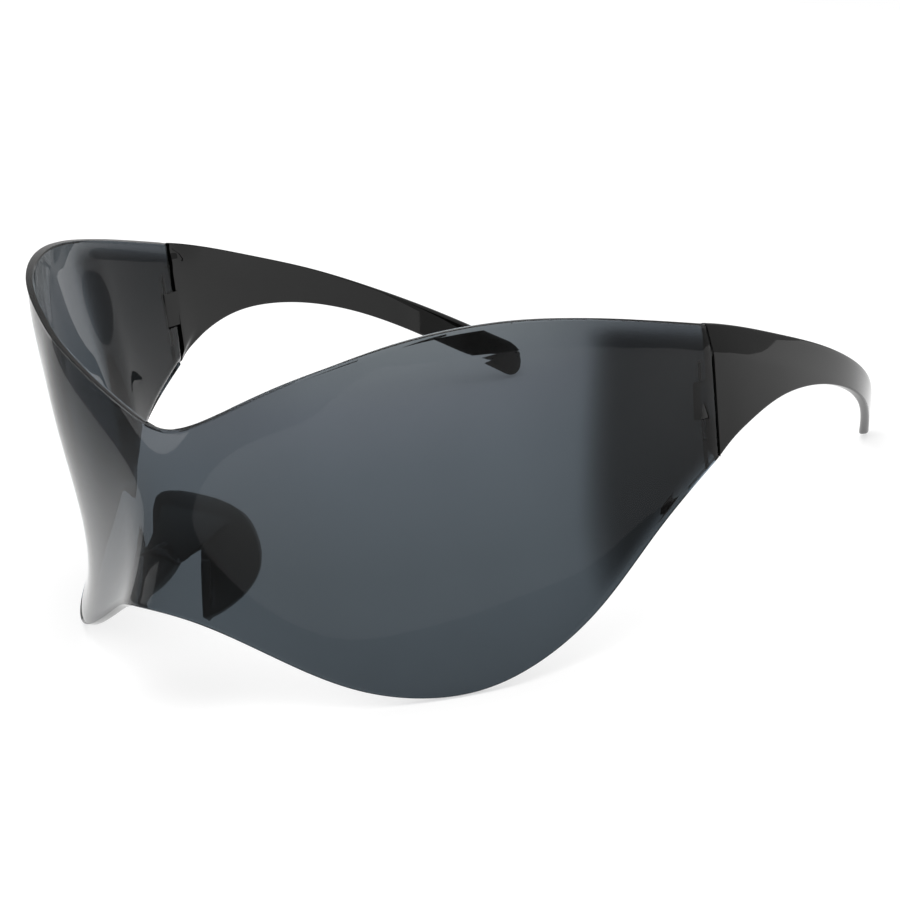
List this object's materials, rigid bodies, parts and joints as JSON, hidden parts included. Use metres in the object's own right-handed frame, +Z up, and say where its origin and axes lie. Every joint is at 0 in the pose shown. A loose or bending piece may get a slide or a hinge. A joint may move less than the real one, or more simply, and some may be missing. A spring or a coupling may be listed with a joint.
{
  "type": "shield sunglasses",
  "caption": "Wraparound shield sunglasses: one flared smoke lens from temple to temple, a nose saddle behind it, and temples that fold inward on upright hinge pins.",
  "frame": {"origin": "on the table the glasses stand on, below the middle of their bounding box, with both temples open", "axes": "+Z up, -Y the way the wearer looks, +X the wearer's left; the glasses stand on the lower rim of the lens and the tips of the temples"},
  "size_m": [0.1514, 0.1506, 0.0681],
  "materials": {
    "smoke_lens": "polished, see-through smoke grey",
    "black_plastic": "satin moulded black",
    "smoke_plastic": "polished, almost black",
    "steel": "ground"
  },
  "bodies": {
    "front": {"lens": "smoke_lens", "nose_saddle": "black_plastic", "hinge_pin_left": "steel", "hinge_pin_right": "steel"},
    "left_arm": {"temple_left": "smoke_plastic"},
    "right_arm": {"temple_right": "smoke_plastic"}
  },
  "joints": [
    {"name": "left_fold", "type": "hinge", "parent": "front", "child": "left_arm", "pos_m": [0.07341, 0.00362, 0.03967], "axis": [0, 0.119, 0.9929], "range_deg": [0, 90]},
    {"name": "right_fold", "type": "hinge", "parent": "front", "child": "right_arm", "pos_m": [-0.07341, 0.00362, 0.03967], "axis": [0, -0.119, -0.9929], "range_deg": [0, 84]}
  ]
}
